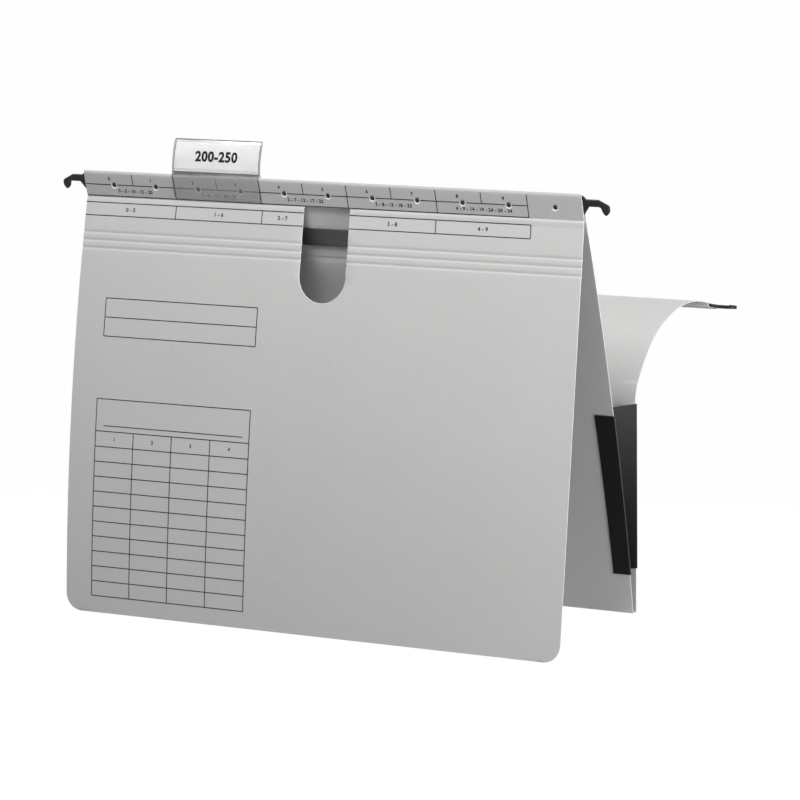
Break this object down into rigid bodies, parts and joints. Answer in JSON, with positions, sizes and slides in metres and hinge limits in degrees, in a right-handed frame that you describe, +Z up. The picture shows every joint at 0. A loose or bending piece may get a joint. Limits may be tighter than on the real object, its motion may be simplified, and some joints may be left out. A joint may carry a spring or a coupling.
{
  "type": "pocket fastener folder",
  "caption": "Card hanging file with hooked rails, a fastener under its slotted cover, a rear pocket with linen gussets and a clear index tab.",
  "frame": {"origin": "halfway between the two front hooks, level with the faces of their arms that bear on a file frame", "axes": "+X along the front rail to the right as seen from the cover, +Y from the cover towards the pocket, +Z up"},
  "size_m": [0.3488, 0.2064, 0.2738],
  "materials": {
    "card": "uncoated recycled card",
    "linen": "woven linen tape",
    "hook_plastic": "satin moulded",
    "rail_steel": "rolled strip",
    "prong_steel": "rolled strip",
    "fastener_metal": "dark lacquer",
    "clear_plastic": "clear",
    "label_paper": "smooth"
  },
  "bodies": {
    "back": {"back_panel": "card", "front_rail": "rail_steel", "front_hook_left": "hook_plastic", "front_hook_right": "hook_plastic", "fastener_strip": "prong_steel", "fastener_bar": "fastener_metal", "gusset_left": "linen", "gusset_right": "linen"},
    "cover": {"front_cover": "card"},
    "slider_left": {"fastener_slider_left": "fastener_metal"},
    "slider_right": {"fastener_slider_right": "fastener_metal"},
    "tab": {"index_tab": "clear_plastic"},
    "label": {"tab_label": "label_paper"},
    "pocket": {"pocket_panel": "card"},
    "band_1": {"pocket_band_1": "card"},
    "band_2": {"pocket_band_2": "card"},
    "band_3": {"pocket_band_3": "card"},
    "pocket_top": {"pocket_header": "card", "rear_rail": "rail_steel", "rear_hook_left": "hook_plastic", "rear_hook_right": "hook_plastic"}
  },
  "joints": [
    {"name": "cover_hinge", "type": "hinge", "parent": "back", "child": "cover", "pos_m": [0, 0.00102, -0.00834], "axis": [-1, 0, 0], "range_deg": [-16, 120]},
    {"name": "slider_left_slide", "type": "slide", "parent": "back", "child": "slider_left", "axis": [-1, 0, 0], "range_m": [0, 0.01]},
    {"name": "slider_right_slide", "type": "slide", "parent": "back", "child": "slider_right", "axis": [1, 0, 0], "range_m": [0, 0.01]},
    {"name": "tab_slide", "type": "slide", "parent": "back", "child": "tab", "axis": [1, 0, 0], "range_m": [-0.058, 0.198]},
    {"name": "label_slide", "type": "slide", "parent": "tab", "child": "label", "axis": [-1, 0, 0], "range_m": [0, 0.056]},
    {"name": "pocket_hinge", "type": "hinge", "parent": "back", "child": "pocket", "pos_m": [0, 0.07257, -0.2357], "axis": [1, 0, 0], "range_deg": [-4, 11], "deforming": ["gusset_left", "gusset_right"]},
    {"name": "curl_1", "type": "hinge", "parent": "pocket", "child": "band_1", "pos_m": [0, 0.06892, -0.11775], "axis": [1, 0, 0], "range_deg": [-3, 27]},
    {"name": "curl_2", "type": "hinge", "parent": "band_1", "child": "band_2", "pos_m": [0, 0.08151, -0.09178], "axis": [1, 0, 0], "range_deg": [-3.6, 32.4]},
    {"name": "curl_3", "type": "hinge", "parent": "band_2", "child": "band_3", "pos_m": [0, 0.10701, -0.07606], "axis": [1, 0, 0], "range_deg": [-1.8, 16.2]},
    {"name": "curl_4", "type": "hinge", "parent": "band_3", "child": "pocket_top", "pos_m": [0, 0.13572, -0.06801], "axis": [1, 0, 0], "range_deg": [-2.4, 21.6]}
  ],
  "couplings": [
    {"joint": "curl_2", "follows": "curl_1", "ratio": 1.2},
    {"joint": "curl_3", "follows": "curl_1", "ratio": 0.6},
    {"joint": "curl_4", "follows": "curl_1", "ratio": 0.8}
  ]
}
